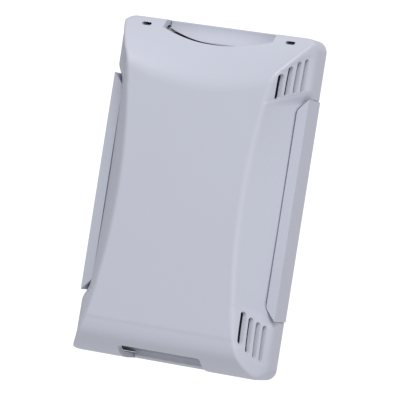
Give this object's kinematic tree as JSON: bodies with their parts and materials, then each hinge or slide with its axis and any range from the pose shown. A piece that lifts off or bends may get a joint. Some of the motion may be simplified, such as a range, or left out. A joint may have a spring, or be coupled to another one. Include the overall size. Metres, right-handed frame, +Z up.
{
  "type": "wall-mounted wireless network unit",
  "caption": "Wall-mounted wireless network unit: vented two-part plastic housing with slotted corner lobes, a swinging front cover and a circuit board with jack, terminals and printed antenna.",
  "frame": {"origin": "middle of the four wall-screw holes, on the wall plane", "axes": "+Z up along the housing's length, +X to the right seen from the front, the wall is the plane Y = 0 and the front faces -Y"},
  "size_m": [0.08, 0.028, 0.13],
  "materials": {
    "cover_plastic": "fine satin texture",
    "plate_plastic": "fine satin texture",
    "board_laminate": "solder mask",
    "screw_steel": "zinc plated",
    "jack_plating": "tin plated",
    "black_plastic": "moulded",
    "contact_gold": "gold flashed",
    "terminal_green": "moulded",
    "inductor_grey": "ferrite",
    "can_aluminium": "drawn can",
    "chip_black": "moulded epoxy",
    "pad_rubber": "soft silicone",
    "sink_aluminium": "dark anodised extrusion",
    "radio_laminate": "solder mask",
    "antenna_laminate": "bare laminate",
    "antenna_copper": "etched copper",
    "white_nylon": "moulded",
    "switch_body": "moulded",
    "button_plastic": "moulded",
    "filter_foam": "open-cell foam"
  },
  "bodies": {
    "base": {"back_plate": "plate_plastic", "main_board": "board_laminate", "board_screws": "screw_steel", "jack_shell": "jack_plating", "jack_insert": "black_plastic", "jack_contacts": "contact_gold", "line_transformer": "black_plastic", "terminal_block": "terminal_green", "terminal_screws": "screw_steel", "terminal_clamps": "contact_gold", "power_inductor": "inductor_grey", "smoothing_capacitors": "can_aluminium", "processor": "chip_black", "thermal_pad": "pad_rubber", "heat_sink": "sink_aluminium", "memory_chip": "chip_black", "radio_board": "radio_laminate", "radio_shield": "jack_plating", "antenna_board": "antenna_laminate", "antenna_elements": "antenna_copper", "antenna_pins": "contact_gold", "antenna_spacers": "white_nylon", "reset_switch": "switch_body"},
    "cover": {"front_cover": "cover_plastic", "vent_filters": "filter_foam"},
    "reset_key": {"reset_button": "button_plastic"}
  },
  "joints": [
    {"name": "cover_swing", "type": "hinge", "parent": "base", "child": "cover", "pos_m": [0, -0.0018, -0.0632], "axis": [1, 0, 0], "range_deg": [0, 30]},
    {"name": "reset_press", "type": "slide", "parent": "base", "child": "reset_key", "axis": [0, 1, 0], "range_m": [0, 0.0003], "stiffness_N_per_m": 800}
  ]
}
